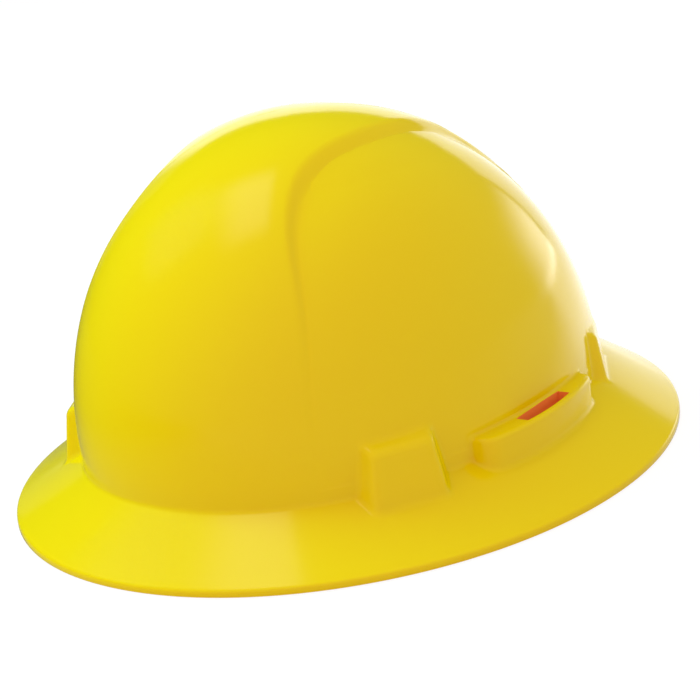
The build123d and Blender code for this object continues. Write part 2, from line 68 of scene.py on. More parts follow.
def newMaterial(name):
    material = bpy.data.materials.new(name)
    material.use_nodes = True
    tree = material.node_tree
    return material, tree, tree.nodes["Principled BSDF"]


def meshObject(name, vertices, faces, material, smooth=True):
    mesh = bpy.data.meshes.new(name)
    mesh.from_pydata((np.asarray(vertices) * mm).tolist(), [], faces)
    mesh.validate()
    mesh.materials.append(material)
    if smooth:
        mesh.shade_smooth()
    obj = bpy.data.objects.new(name, mesh)
    bpy.context.scene.collection.objects.link(obj)
    return obj


def turnOutward(obj):
    work = bmesh.new()
    work.from_mesh(obj.data)
    bmesh.ops.recalc_face_normals(work, faces=work.faces)
    work.to_mesh(obj.data)
    work.free()


# Moulded high density polyethylene, dyed safety yellow all through: glossy, with painted shade that
# turns it more orange in tight corners
shellLook = {
    "colour": "#efda00",
    "paintedShadeColour": "#f09a1e",
    "paintedShadeReach": 5,  # mm
    "roughness": 0.13,
    "ior": 1.5,
    "specular": 0.28,
}
yellowShell, tree, bsdf = newMaterial("yellow_moulded_polyethylene")
# Painted shade: points that the shell closes in within a few mm turn from yellow to orange
near = addNode(
    tree,
    "ShaderNodeAmbientOcclusion",
    {"Distance": shellLook["paintedShadeReach"] * mm},
    samples=8,
    only_local=True,
)
cornerShadeMask = addNode(
    tree,
    "ShaderNodeMapRange",
    {"Value": near.outputs["AO"], "From Min": 0.2, "From Max": 0.8},
    interpolation_type="SMOOTHSTEP",
)
colourWithPaintedShade = addNode(
    tree,
    "ShaderNodeMix",
    {0: cornerShadeMask.outputs[0], 6: srgb(shellLook["paintedShadeColour"]), 7: srgb(shellLook["colour"])},
    data_type="RGBA",
)
fillSockets(
    tree,
    bsdf,
    {
        "Base Color": colourWithPaintedShade.outputs[2],
        "Roughness": shellLook["roughness"],
        "IOR": shellLook["ior"],
        "Specular IOR Level": shellLook["specular"],
    },
)

# The same plastic inside the accessory slots, with painted light: an orange that stands for light
# coming back through the wall
slotGlowLook = {"colour": "#ff9a45", "roughness": 0.3}
slotWall, tree, bsdf = newMaterial("yellow_polyethylene_painted_slot_glow")
fillSockets(tree, bsdf, {"Base Color": srgb(slotGlowLook["colour"]), "Roughness": slotGlowLook["roughness"]})

# Shell sizes in mm, as in the part's source apart from the rounds at the rim and the crown's foot
shellSize = {
    "brimLength": 315,
    "brimWidth": 287,
    "height": 156,
    "wall": 2.6,
    "rimHeight": 2.8,
    "rimLand": 2.4,
    "rimRound": 1.1,
    "crownBase": 21.5,
    "crownHalfWidth": 104,
    "crownFront": 126,
    "crownRear": 130,
    "crownCentre": -1.5,
    "crownLean": 9.5,
    "frontFullness": 0.58,
    "rearFullness": 0.62,
    "rimFullness": 0.5523,
    "sidePower": 2.15,
    "endPower": 1.97,
    "fitMiddle": -4.5,
    "footHollow": 1.5,
}
# Raised centre panel: its rise is the source's, and its edge is drawn here, as half its width at
# places along the crown. Its walls lean out
panelSize = {
    "rise": 5,
    "skin": 0.15,  # inset of the crown beside the panel
    "fullerPower": 0.02,  # and how much fuller that crown is
    "edgeFrom": (0, 9, 22, 33, 43, 53, 60, 65, 70, 74, 77, 79, 83, 86, 90, 95, 102),
    "edgeHalf": (
        *(39.6, 39.6, 38.6, 37.3, 36.1, 36.4, 37.7, 39.5, 41.6),
        *(44.0, 46.2, 48.2, 51.7, 54.8, 58.4, 61.8, 66),
    ),
    "edgeBlur": (-3, -1.5, 0, 1.5, 3),
    "draft": 1.5,
    "edgeRound": 1.0,
    "footRound": (0.3, 1.2),
    "above": 6,  # over the crown's foot
}
# Four lugs that hold the suspension's blades, each turned from the hat's length by an angle. They
# reach further into the crown than in the source, and blend into it
lugSize = {
    "x": 93.15,
    "reach": 76.6,
    "turn": math.radians(58.1),
    "bottomWidth": 31,
    "topWidth": 24,
    "height": 39.5,
    "foot": 17,
    "lean": 0.153,  # these three are slopes
    "flare": 0.435,
    "topSlope": 0.46,
    "depth": 24,
    "round": 2.2,
    "blend": 1.8,
}
# Side pads with an open accessory slot each, rounder than in the source
padSize = {
    "length": 82,
    "halfWidth": 113.6,
    "endHalfWidth": 106.8,
    "top": 31,
    "corner": 6.0,
    "round": 1.8,
    "blend": 1.5,
    "slotLength": 33,
    "slotInner": 104.4,
    "slotWall": 2.4,
    "slotCut": (-3, 45),  # heights
    "slotSteps": 13,
}
# Blade sockets: outline over depth behind the lug's face and height, and half their width
socketSize = {
    "outline": ((2.2, -3), (9.0, -3), (9.0, 35.9), (5.3, 35.9), (2.2, 12.5)),
    "halfWidth": 12.0,
}
# Mesh of the shell: columns per mm round the crown's foot, and rows in mm
shellMesh = {
    "columns": 0.34,
    "atLugs": (0.2, 0.9),  # reach in radians each side, and columns per mm more
    "atPads": (0.035, 1.6),
    "atPanelEnds": (0.07, 1.1),
    "densityFade": 0.02,
    "padInset": 2,
    "panelEnd": (61.5, 90),  # x and y
    "crownRadius": 118,  # turns mm over the crown into an angle
    "probeRises": (8, 89.5, 600),
    "edgeLimits": (38, 78),  # degrees of rise between which rows follow the panel's edge
    "edgeSmooth": 12,  # columns each side
    "edgeRows": (7, 12, 0.85),  # above and below the edge, and apart
    "topRows": 17,
    "topCrowding": 0.85,
    "sideRows": 23,
    "levelFrom": 52,
    "levelStep": 0.8,
    "hollowRows": 8,
    "brimDense": (0.8, 15, 0.9),
    "brimFrom": 14.5,
    "brimRows": 11,
    "rimRows": 6,
    "rimSteps": ((0, 0.35), (0.12, 0.1), (0.4, 0.0)),  # inset and height
    "underShares": (0.01, 0.1, 0.5, 0.9, 0.99),
    "insideRises": (0.6, 2, 5, 9, 14, 20, 27, 34, 41, 48, 54, 60, 65, 70, 75, 80, 84, 87.5),
    "rayFrom": -70.0,  # height that the rays start from
    "search": (-12.0, 32.0),  # along a ray, inwards and outwards
    "halvings": 34,
    "sharpFrom": 42,  # degrees between faces
}
lugCorners = [(side, end) for end in (-1, 1) for side in (-1, 1)]
middleY = shellSize["fitMiddle"]


# A quarter of a level curve for each whole step of s: left, rear, right, front
def levelPoint(s, halfWidth, front, rear, centre, frontShare, rearShare):
    quarter = np.floor(s) % 4
    t = s - np.floor(s)
    t = np.where(quarter % 2 == 0, t, 1 - t)
    atRear = quarter < 2
    share = np.where(atRear, rearShare, frontShare)
    along = (1 - t) ** 3 + 3 * (1 - t) ** 2 * t + 3 * (1 - t) * t * t * share
    across = 3 * (1 - t) ** 2 * t * share + 3 * (1 - t) * t * t + t**3
    side = np.where((quarter == 0) | (quarter == 3), 1, -1)
    reach = np.where(atRear, rear, -front)
    return side * halfWidth * along, centre + reach * across


# Point of the crown at a share of its rise, 0 at its foot and 1 at its top
def crownPoint(s, rise, inset, base, top, fuller=0.0):
    c = shellSize
    side, end = c["sidePower"] + fuller, c["endPower"] + fuller
    sideShare = np.maximum(1 - rise**side, 0) ** (1 / side)
    endShare = np.maximum(1 - rise**end, 0) ** (1 / end)
    x, y = levelPoint(
        s,
        (c["crownHalfWidth"] - inset) * sideShare,
        (c["crownFront"] - inset) * endShare,
        (c["crownRear"] - inset) * endShare,
        c["crownCentre"] - c["crownLean"] * rise,
        c["frontFullness"],
        c["rearFullness"],
    )
    return np.stack(np.broadcast_arrays(x, y, base + (top - base) * rise), -1)


def rimPoint(s, inset, height):
    c = shellSize
    share = c["rimFullness"]
    half = c["brimLength"] / 2 - inset
    x, y = levelPoint(s, c["brimWidth"] / 2 - inset, half, half, 0, share, share)
    return np.stack(np.broadcast_arrays(x, y, height), -1)


# Rows round a corner, from start to end
def roundedCorner(start, corner, end, shares):
    return [(1 - t) ** 2 * start + 2 * t * (1 - t) * corner + t * t * end for t in shares]


# Smaller or larger of two distances, blended over k mm, which rounds the edge between them
def smoothMin(a, b, k):
    h = np.maximum(k - np.abs(a - b), 0) / k
    return np.minimum(a, b) - h * h * k / 4


def smoothMax(a, b, k):
    return -smoothMin(-a, -b, k)


# Outward and sideways directions of a lug's face, and the middle of its foot
def lugFrame(side, end):
    c = lugSize
    normal = np.array([side * math.sin(c["turn"]), end * math.cos(c["turn"])])
    across = np.array([-normal[1], normal[0]])
    return normal, across, np.array([side * c["x"], middleY + end * c["reach"]])


# Half a pad's length, and the radius of its bowed face
def padBow():
    c = padSize
    half, bulge = c["length"] / 2, c["halfWidth"] - c["endHalfWidth"]
    return half, (half**2 + bulge**2) / (2 * bulge)


# Distance outside a lug: a rounded block that leans, flares and slopes back at its top
def lugField(p, side, end):
    c = lugSize
    normal, across, foot = lugFrame(side, end)
    offset = p[..., :2] - foot
    depth = -(offset @ normal)
    along = np.abs(offset @ across)
    z = p[..., 2]
    shoulder = c["lean"] * (c["height"] - c["foot"])
    draft = (c["bottomWidth"] - c["topWidth"]) / 2 / (c["height"] - c["foot"]) - c["flare"] * c["lean"] / 2
    front = c["lean"] * (z - c["foot"])
    half = c["bottomWidth"] / 2 - draft * (z - c["foot"]) + c["flare"] * (depth - front)
    face = (front - depth) / math.hypot(1, c["lean"])
    flank = (along - half) / math.hypot(1, c["flare"])
    top = (z - c["height"] - c["topSlope"] * (depth - shoulder)) / math.hypot(1, c["topSlope"])
    block = smoothMax(smoothMax(face, flank, c["round"]), top, c["round"])
    return np.maximum(block, depth - c["depth"])


# Distance outside the side pads
def padField(p):
    c = padSize
    half, radius = padBow()
    across = np.abs(p[..., 0]) - (c["halfWidth"] - radius)
    wall = np.hypot(across, p[..., 1] - middleY) - radius
    ends = np.abs(p[..., 1] - middleY) - half
    return smoothMax(smoothMax(wall, ends, c["corner"]), p[..., 2] - c["top"], c["round"])


# Distance outside the panel's side wall, which leans out as it goes down
def panelWall(points, depth=0):
    c = panelSize
    along = np.abs(points[..., 1])
    halves = [np.interp(along + shift, c["edgeFrom"], c["edgeHalf"]) for shift in c["edgeBlur"]]
    half = sum(halves) / len(halves)
    return (np.abs(points[..., 0]) - half - c["draft"] * depth) / math.hypot(1, c["draft"])


# Places of the shell's columns round the crown, closer together at lugs, pads and panel ends
def shellColumns():
    m = shellMesh
    table = np.linspace(0, 4, 4001)
    rim = crownPoint(table, np.zeros_like(table), 0, shellSize["crownBase"], shellSize["height"])
    turn = np.unwrap(np.arctan2(rim[:, 1] - middleY, rim[:, 0]))
    density = np.full_like(turn, m["columns"])
    for side, end in lugCorners:
        lug = math.atan2(end * lugSize["reach"], side * lugSize["x"])
        pad = math.atan2(end * padSize["length"] / 2, side * (padSize["endHalfWidth"] - m["padInset"]))
        panel = math.atan2(end * m["panelEnd"][1], side * m["panelEnd"][0])
        for angle, (reach, gain) in ((lug, m["atLugs"]), (pad, m["atPads"]), (panel, m["atPanelEnds"])):
            apart = np.abs((turn - angle + math.pi) % (2 * math.pi) - math.pi)
            density += gain / (1 + np.exp((apart - reach) / m["densityFade"]))
    arc = np.hypot(*np.gradient(rim[:, :2], axis=0).T) * density
    total = np.concatenate([[0], np.cumsum((arc[1:] + arc[:-1]) / 2)])
    count = int(round(total[-1]))
    return np.interp(np.arange(count) * total[-1] / count, total, table)


# Rise angle at which each column crosses the panel's edge
def panelEdge(s):
    base, top = shellSize["crownBase"], shellSize["height"]
    angles = np.radians(np.linspace(*shellMesh["probeRises"]))
    probe = crownPoint(s[None, :], np.sin(angles)[:, None], 0, base, top)
    outside = panelWall(probe) > 0
    crossing = angles[len(angles) - 1 - np.argmax(outside[::-1], axis=0)]
    low, high = (math.radians(v) for v in shellMesh["edgeLimits"])
    edge = np.where(outside.any(axis=0), np.maximum(crossing, low), low)
    reach = shellMesh["edgeSmooth"]
    bell = np.exp(-np.linspace(-2, 2, 2 * reach + 1) ** 2)
    bell /= bell.sum()
    edge = np.convolve(np.concatenate([edge[-reach:], edge, edge[:reach]]), bell, "valid")
    return np.minimum(edge, high)


# Rows of the plain shell from the crown's top to the rim, then where its rounded rim starts and its corner
def plainRows(s):
    c, m = shellSize, shellMesh
    base, top = c["crownBase"], c["height"]
    edge = panelEdge(s)
    perMm = 1 / m["crownRadius"]
    above, below, step = m["edgeRows"]
    start, stop = edge + above * perMm, edge - below * perMm
    seam = math.asin((m["levelFrom"] - base) / (top - base))
    shares = np.linspace(0, 1, m["topRows"])[1:-1] ** m["topCrowding"]
    rises = [math.pi / 2 + (start - math.pi / 2) * t for t in shares]
    rises += [edge + t * perMm for t in np.arange(above, -below - 0.1, -step)]
    rises += [stop + (seam - stop) * t for t in np.linspace(0, 1, m["sideRows"])[1:]]
    rows = [crownPoint(s, np.sin(rise), 0, base, top) for rise in rises]
    levelStep = m["levelStep"]
    lowest = base + c["footHollow"] + levelStep / 2
    for height in np.arange(m["levelFrom"] - levelStep, lowest, -levelStep):
        rows.append(crownPoint(s, np.full_like(s, (height - base) / (top - base)), 0, base, top))

    # Small hollow round the foot of the crown, then the brim
    corner = crownPoint(s, np.zeros_like(s), 0, base, top)
    rimTop = rimPoint(s, 0, c["rimHeight"])
    hollowTop = crownPoint(s, np.full_like(s, c["footHollow"] / (top - base)), 0, base, top)
    outward = (rimTop - corner) / np.linalg.norm(rimTop - corner, axis=-1, keepdims=True)
    hollowEnd = corner + outward * c["footHollow"]
    rows += roundedCorner(hollowTop, corner, hollowEnd, np.linspace(0, 1, m["hollowRows"]))
    rows += [hollowEnd + outward * distance for distance in np.arange(*m["brimDense"])]
    brimStart = hollowEnd + outward * m["brimFrom"]
    end = rimTop - outward * c["rimRound"]
    rows += [brimStart + (end - brimStart) * t for t in np.linspace(0, 1, m["brimRows"])[1:]]
    return np.array(rows), end, rimTop


# Moves each point of the plain shell along a ray until it meets panel, lugs and pads
def raiseForms(plain, s):
    c, p, m = shellSize, panelSize, shellMesh
    base, top = c["crownBase"], c["height"]
    padded = np.concatenate([plain[:, -1:], plain, plain[:, :1]], axis=1)
    across = (padded[:, 2:] - padded[:, :-2]) / 2
    down = np.gradient(plain, axis=0)
    normals = np.cross(down, across)
    normals /= np.linalg.norm(normals, axis=-1, keepdims=True)
    rays = plain - np.array([0, middleY, m["rayFrom"]])
    rays /= np.linalg.norm(rays, axis=-1, keepdims=True)
    facing = np.sum(rays * normals, axis=-1)

    # The crown beside the panel lies lower by the panel's rise
    rise = np.clip((plain[..., 2] - base) / (top - base), 0, 1)
    wide = np.broadcast_to(s, rise.shape)
    upper = crownPoint(wide, rise, 0, base, top)
    lower = crownPoint(wide, rise, p["skin"], base, top - p["rise"], p["fullerPower"])
    onCrown = plain[..., 2] > base + p["above"]
    drop = np.where(onCrown, np.sum((upper - lower) * normals, axis=-1), 0)
    foot = np.clip(drop, *p["footRound"])

    def formField(e):
        points = plain + rays * e[..., None]
        skinField = e * facing
        panel = smoothMax(skinField, panelWall(points, np.maximum(-skinField, 0)), p["edgeRound"])
        field = np.where(onCrown, smoothMin(skinField + drop, panel, foot), skinField)
        for side, end in lugCorners:
            field = smoothMin(field, lugField(points, side, end), lugSize["blend"])
        return smoothMin(field, padField(points), padSize["blend"])

    near, far = (np.full(rise.shape, v) for v in m["search"])
    for _ in range(m["halvings"]):
        half = (near + far) / 2
        outside = formField(half) > 0
        far = np.where(outside, half, far)
        near = np.where(outside, near, half)
    return plain + rays * near[..., None]


# Rounded rim, flat land under it, underside of the brim and inside of the crown
def underRows(s, end, rimTop):
    c, m = shellSize, shellMesh
    base, top = c["crownBase"], c["height"]
    rimSide = rimTop - np.array([0, 0, c["rimRound"]])
    rows = roundedCorner(end, rimTop, rimSide, np.linspace(0, 1, m["rimRows"])[1:])
    rows += [rimPoint(s, inset, height) for inset, height in (*m["rimSteps"], (c["rimLand"] - 0.2, 0.0))]
    slope = (base - c["rimHeight"]) / (c["brimWidth"] / 2 - c["crownHalfWidth"])
    under = base + c["wall"] * slope - c["wall"] * math.sqrt(1 + slope**2)
    inner = rimPoint(s, c["rimLand"], 0.0)
    neck = crownPoint(s, np.zeros_like(s), c["wall"], under, top - c["wall"])
    rows += [inner + (neck - inner) * t for t in m["underShares"]]
    for angle in m["insideRises"]:
        share = np.full_like(s, math.sin(math.radians(angle)))
        rows.append(crownPoint(s, share, c["wall"], under, top - c["wall"]))
    return np.array(rows)


def buildShell():
    c = shellSize
    s = shellColumns()
    plain, end, rimTop = plainRows(s)
    points = np.concatenate([raiseForms(plain, s), underRows(s, end, rimTop)])
    rowCount, columns = points.shape[:2]
    index = np.arange(rowCount * columns).reshape(rowCount, columns)
    after = np.roll(index, -1, axis=1)
    faces = np.stack([index[:-1], index[1:], after[1:], after[:-1]], -1).reshape(-1, 4).tolist()
    vertices = points.reshape(-1, 3).tolist()
    for ring, height, down in ((index[0], c["height"], False), (index[-1], c["height"] - c["wall"], True)):
        apex = len(vertices)
        vertices.append([0, c["crownCentre"] - c["crownLean"], height])
        for a, b in zip(ring, np.roll(ring, -1)):
            faces.append([int(b), int(a), apex] if down else [int(a), int(b), apex])
    return meshObject("moulded_shell", vertices, faces, yellowShell)


def prism(vertices, faces, outline, place):
    first, count = len(vertices), len(outline)
    for level in (0, 1):
        vertices += [place(a, b, level) for a, b in outline]
    faces.append(list(range(first, first + count)))
    faces.append(list(range(first + 2 * count - 1, first + count - 1, -1)))
    for i in range(count):
        j = (i + 1) % count
        faces.append([first + i, first + count + i, first + count + j, first + j])


# Cuts the two accessory slots and the four blade sockets
def cutShell(shell):
    vertices, faces = [], []
    c = padSize
    radius = padBow()[1]
    inner = radius - c["slotWall"]
    reach = c["slotLength"] / 2
    spread = math.asin(reach / inner)
    turns = np.linspace(spread, -spread, c["slotSteps"])
    arc = [(c["halfWidth"] - radius + inner * math.cos(t), inner * math.sin(t)) for t in turns]
    outline = [(c["slotInner"], reach)] + arc + [(c["slotInner"], -reach)]
    for side in (-1, 1):
        prism(vertices, faces, outline, lambda x, y, level: (side * x, middleY + y, c["slotCut"][level]))
    slotFaces = len(faces)
    for side, end in lugCorners:
        normal, across, foot = lugFrame(side, end)

        def place(depth, z, level):
            at = foot - normal * depth + across * (socketSize["halfWidth"] * (2 * level - 1))
            return at[0], at[1], z

        prism(vertices, faces, socketSize["outline"], place)
    # The slot faces take the material with the painted orange light
    cutter = meshObject("cutter", vertices, faces, slotWall, smooth=False)
    cutter.data.materials.append(yellowShell)  # the blade sockets keep the shell's own colour
    for face in cutter.data.polygons[slotFaces:]:
        face.material_index = 1
    turnOutward(cutter)
    modifier = shell.modifiers.new("cuts", "BOOLEAN")
    modifier.object = cutter
    modifier.operation = "DIFFERENCE"
    modifier.solver = "EXACT"
    modifier.material_mode = "TRANSFER"
    cut = bpy.data.meshes.new_from_object(shell.evaluated_get(bpy.context.evaluated_depsgraph_get()))
    shell.modifiers.clear()
    shell.data = cut
    bpy.data.objects.remove(cutter)
    cut.shade_smooth()
    cut.set_sharp_from_angle(angle=math.radians(shellMesh["sharpFrom"]))


shell = buildShell()
print("shell", len(shell.data.polygons))
cutShell(shell)
print("shell cut", len(shell.data.polygons))
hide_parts("shell")
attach(shell, "shell")


# Moulded plastic: a fine grain, and patches about 17 mm wide that are a little darker and glossier.
# Sizes in mm; the real grain is too fine to show and is drawn coarser
def plastic(name, look):
    material, tree, bsdf = newMaterial(name)
    where = addNode(tree, "ShaderNodeTexCoord").outputs["Object"]
    scale, patchScale = 1 / (look["grain"] * mm), 1 / (16.7 * mm)
    grain = addNode(tree, "ShaderNodeTexNoise", {"Vector": where, "Scale": scale, "Detail": 3.0})
    patches = addNode(tree, "ShaderNodeTexNoise", {"Vector": where, "Scale": patchScale, "Detail": 2.0})
    tone = addNode(
        tree,
        "ShaderNodeMix",
        {0: patches.outputs["Fac"], 6: srgb(look["colour"], 0.85), 7: srgb(look["colour"], 1.15)},
        data_type="RGBA",
    )
    low, high = look["roughness"] - 0.06, look["roughness"] + 0.06
    rough = addNode(
        tree,
        "ShaderNodeMapRange",
        {"Value": patches.outputs["Fac"], "To Min": low, "To Max": high},
    )
    bump = addNode(
        tree,
        "ShaderNodeBump",
        {"Height": grain.outputs["Fac"], "Strength": look["strength"], "Distance": 0.05 * mm},
    )
    fillSockets(
        tree,
        bsdf,
        {"Base Color": tone.outputs[2], "Roughness": rough.outputs[0], "Normal": bump.outputs[0]},
    )
    return material


# Small steel parts: bright, with a grain that is drawn coarser than the real one, in mm
def steel(name, look):
    material, tree, bsdf = newMaterial(name)
    where = addNode(tree, "ShaderNodeTexCoord").outputs["Object"]
    scale = 1 / (look["grain"] * mm)
    grain = addNode(tree, "ShaderNodeTexNoise", {"Vector": where, "Scale": scale, "Detail": 4.0})
    low, high = look["roughness"] - 0.08, look["roughness"] + 0.08
    rough = addNode(
        tree,
        "ShaderNodeMapRange",
        {"Value": grain.outputs["Fac"], "To Min": low, "To Max": high},
    )
    fillSockets(
        tree,
        bsdf,
        {"Base Color": srgb(look["colour"]), "Roughness": rough.outputs[0], "Metallic": 1.0},
    )
    return material


# Woven or knitted threads on a UV map in mm: pitch across and along, relief and a 0.25 mm fuzz
def woven(name, look):
    material, tree, bsdf = newMaterial(name)
    where = addNode(tree, "ShaderNodeTexCoord")
    uv = addNode(tree, "ShaderNodeSeparateXYZ", {0: where.outputs["UV"]})
    waves = []
    for axis, pitch in enumerate(look["pitch"]):
        turns = {0: uv.outputs[axis], 1: math.pi / pitch}
        turn = addNode(tree, "ShaderNodeMath", turns, operation="MULTIPLY")
        waves.append(addNode(tree, "ShaderNodeMath", {0: turn.outputs[0]}, operation="SINE").outputs[0])
    both = addNode(tree, "ShaderNodeMath", dict(enumerate(waves)), operation="MULTIPLY")
    height = addNode(
        tree,
        "ShaderNodeMapRange",
        {"Value": both.outputs[0], "From Min": -1.0, "From Max": 1.0},
    )
    fuzz = addNode(
        tree,
        "ShaderNodeTexNoise",
        {"Vector": where.outputs["Object"], "Scale": 1 / (0.25 * mm), "Detail": 2.0},
    )
    total = addNode(
        tree,
        "ShaderNodeMath",
        {0: fuzz.outputs["Fac"], 1: 0.5, 2: height.outputs[0]},
        operation="MULTIPLY_ADD",
    )
    # Painted shade: the low parts between the threads are darker
    tone = addNode(
        tree,
        "ShaderNodeMix",
        {0: height.outputs[0], 6: srgb(look["colour"], 0.45), 7: srgb(look["colour"])},
        data_type="RGBA",
    )
    bump = addNode(
        tree,
        "ShaderNodeBump",
        {"Height": total.outputs[0], "Strength": 0.8, "Distance": look["relief"] * mm},
    )
    fillSockets(
        tree,
        bsdf,
        {
            "Base Color": tone.outputs[2],
            "Normal": bump.outputs[0],
            "Roughness": 0.85,
            "Sheen Weight": look["sheen"],
            "Sheen Roughness": 0.5,
        },
    )
    return material


# Grained leather: cells with painted shade in the valleys between them, their size in mm
def leather(name, look):
    material, tree, bsdf = newMaterial(name)
    where = addNode(tree, "ShaderNodeTexCoord").outputs["Object"]
    cells = addNode(
        tree,
        "ShaderNodeTexVoronoi",
        {"Vector": where, "Scale": 1 / (look["grain"] * mm)},
        feature="DISTANCE_TO_EDGE",
    )
    rise = addNode(
        tree,
        "ShaderNodeMapRange",
        {"Value": cells.outputs["Distance"], "From Min": 0.0, "From Max": 0.25},
    )
    # Painted shade: the valleys between the cells are darker
    tone = addNode(
        tree,
        "ShaderNodeMix",
        {0: rise.outputs[0], 6: srgb(look["colour"], 0.5), 7: srgb(look["colour"])},
        data_type="RGBA",
    )
    bump = addNode(tree, "ShaderNodeBump", {"Height": rise.outputs[0], "Strength": 0.6, "Distance": 0.2 * mm})
    fillSockets(
        tree,
        bsdf,
        {"Base Color": tone.outputs[2], "Normal": bump.outputs[0], "Roughness": 0.55},
    )
    return material


# Hard pieces under the shell, and the nodes that each finish is for
plasticLooks = {
    # Nylon from a smooth tool: an even black with a soft sheen
    "black_moulded_nylon": {
        "colour": "#2a2a2c",
        "roughness": 0.5,
        "grain": 0.5,
        "strength": 0.4,
        "nodes": ["headband"],
    },
    # Acetal from a smooth tool: charcoal, a little glossier
    "charcoal_moulded_acetal": {
        "colour": "#303032",
        "roughness": 0.42,
        "grain": 0.4,
        "strength": 0.3,
        "nodes": ["front_right_key", "front_left_key", "rear_right_key", "rear_left_key", "hanger_studs"],
    },
    # Polypropylene that bends: waxy dark grey
    "grey_flexible_polypropylene": {
        "colour": "#3b3b3e",
        "roughness": 0.45,
        "grain": 0.4,
        "strength": 0.3,
        "nodes": ["left_rack_tail", "right_rack_tail"],
    },
    # ABS from a textured tool: dull black
    "black_textured_abs": {
        "colour": "#262628",
        "roughness": 0.55,
        "grain": 0.7,
        "strength": 0.6,
        "nodes": ["ratchet_housing", "ratchet_cover"],
    },
    # Undyed acetal: milky white and smooth
    "natural_acetal": {
        "colour": "#e6e4da",
        "roughness": 0.35,
        "grain": 0.3,
        "strength": 0.15,
        "nodes": ["ratchet_pinion"],
    },
    # ABS with a fine texture for grip: the dullest black
    "black_fine_textured_abs": {
        "colour": "#232325",
        "roughness": 0.6,
        "grain": 0.6,
        "strength": 0.7,
        "nodes": ["ratchet_knob"],
    },
}
steelLooks = {
    # Zinc plate: a pale, slightly cloudy shine
    "zinc_plated_steel": {
        "colour": "#c4c4c6",
        "roughness": 0.35,
        "grain": 1.11,
        "nodes": ["cover_screws", "knob_screw"],
    },
    # Polished spring strip: a sharper, darker shine
    "polished_spring_steel": {
        "colour": "#b6b6ba",
        "roughness": 0.22,
        "grain": 1.11,
        "nodes": ["detent_spring"],
    },
}
for make, looks in ((plastic, plasticLooks), (steel, steelLooks)):
    for name, look in looks.items():
        material = make(name, look)
        for node in look["nodes"]:
            nodes[node].data.materials.clear()
            nodes[node].data.materials.append(material)
print("finishes")

# Plain woven nylon webbing: flat threads with painted shade in the gaps between them, and a faint sheen
webbing = woven(
    "charcoal_nylon_webbing",
    {"colour": "#46464a", "pitch": (1.1, 1.6), "relief": 0.25, "sheen": 0.25},
)
# Knitted terry: small loops that make a soft, dusty black
browCloth = woven(
    "black_knitted_terry",
    {"colour": "#303033", "pitch": (0.9, 0.9), "relief": 0.35, "sheen": 0.5},
)
# Knit stretched over foam: wider, flatter stitches
napeCloth = woven(
    "black_knit_over_foam",
    {"colour": "#2c2c2f", "pitch": (1.3, 1.3), "relief": 0.2, "sheen": 0.35},
)
# Split leather with a pressed grain: half dull, with fine creases
patchLeather = leather("black_grained_leather", {"colour": "#26262a", "grain": 1.1})


# Closed grid of rows round a loop, with a UV map in mm, and its ends filled
def loftObject(name, rows, across, along, material):
    rows = np.asarray(rows, dtype=float)
    count, around = rows.shape[:2]
    index = np.arange(count * around).reshape(count, around)
    faces, maps = [], []
    for i in range(count - 1):
        for j in range(around):
            m = (j + 1) % around
            faces.append([int(index[i, j]), int(index[i, m]), int(index[i + 1, m]), int(index[i + 1, j])])
            u0, u1 = across[j], across[j + 1]
            v0, v1 = along[i], along[i + 1]
            maps.append([(u0, v0), (u1, v0), (u1, v1), (u0, v1)])
    faces.append([int(v) for v in index[0][::-1]])
    faces.append([int(v) for v in index[-1]])
    maps += [[(across[j], along[0]) for j in range(around)]] * 2
    obj = meshObject(name, rows.reshape(-1, 3), faces, material)
    layer = obj.data.uv_layers.new(name="mm")
    layer.data.foreach_set("uv", [v for face in maps for point in face for v in point])
    turnOutward(obj)
    return obj


# Crown straps: webbing over an arch, with a sewn loop round each key's eye bar
strapSize = {
    "width": 19,
    "thickness": 1.2,
    "clearHeight": 118,
    "springHeight": 42,
    "plateBack": 28.0,
    "gap": 0.3,
    "loopLow": 35.5,
    "loopTop": 43.5,
    "loopDepth": 5.4,
    "sewnGap": 0.15,
    "corner": 1.4,
    "cornerSteps": 6,
    "legFrom": 0.8,
    "legSteps": 4,
    "archSteps": 91,
    "edgeBevel": 0.3,
    "edgeInset": 0.05,
}
# Side of the hat that a strap's front end is on, and how far it passes under the other strap
straps = {
    "webbing_left_front": {"node": "front_left_strap", "side": 1, "drop": 0},
    "webbing_right_front": {"node": "front_right_strap", "side": -1, "drop": 2.4},
}


# Middle line of a strap in its own plane: loop, leg, half ellipse, leg and loop
def strapRoute(leg, drop):
    c = strapSize
    half = c["thickness"] / 2
    outer = leg - half + c["loopDepth"] - half
    low, high = c["loopLow"] + half, c["loopTop"] - half
    r = c["corner"]
    loop = [(leg + c["thickness"] + c["sewnGap"], high)]
    for x, z, start in ((outer - r, high - r, 90), (outer - r, low + r, 0), (leg + r, low + r, -90)):
        for t in np.radians(np.linspace(start, start - 90, c["cornerSteps"])):
            loop.append((x + r * math.cos(t), z + r * math.sin(t)))
    loop += [(leg, z) for z in np.linspace(low + r + c["legFrom"], c["springHeight"], c["legSteps"])]
    top = c["clearHeight"] - drop - c["springHeight"]
    turns = np.linspace(0, math.pi, c["archSteps"])[1:-1]
    arch = [(leg * math.cos(t), c["springHeight"] + top * math.sin(t)) for t in turns]
    return np.array(loop + arch + [(-x, z) for x, z in reversed(loop)])


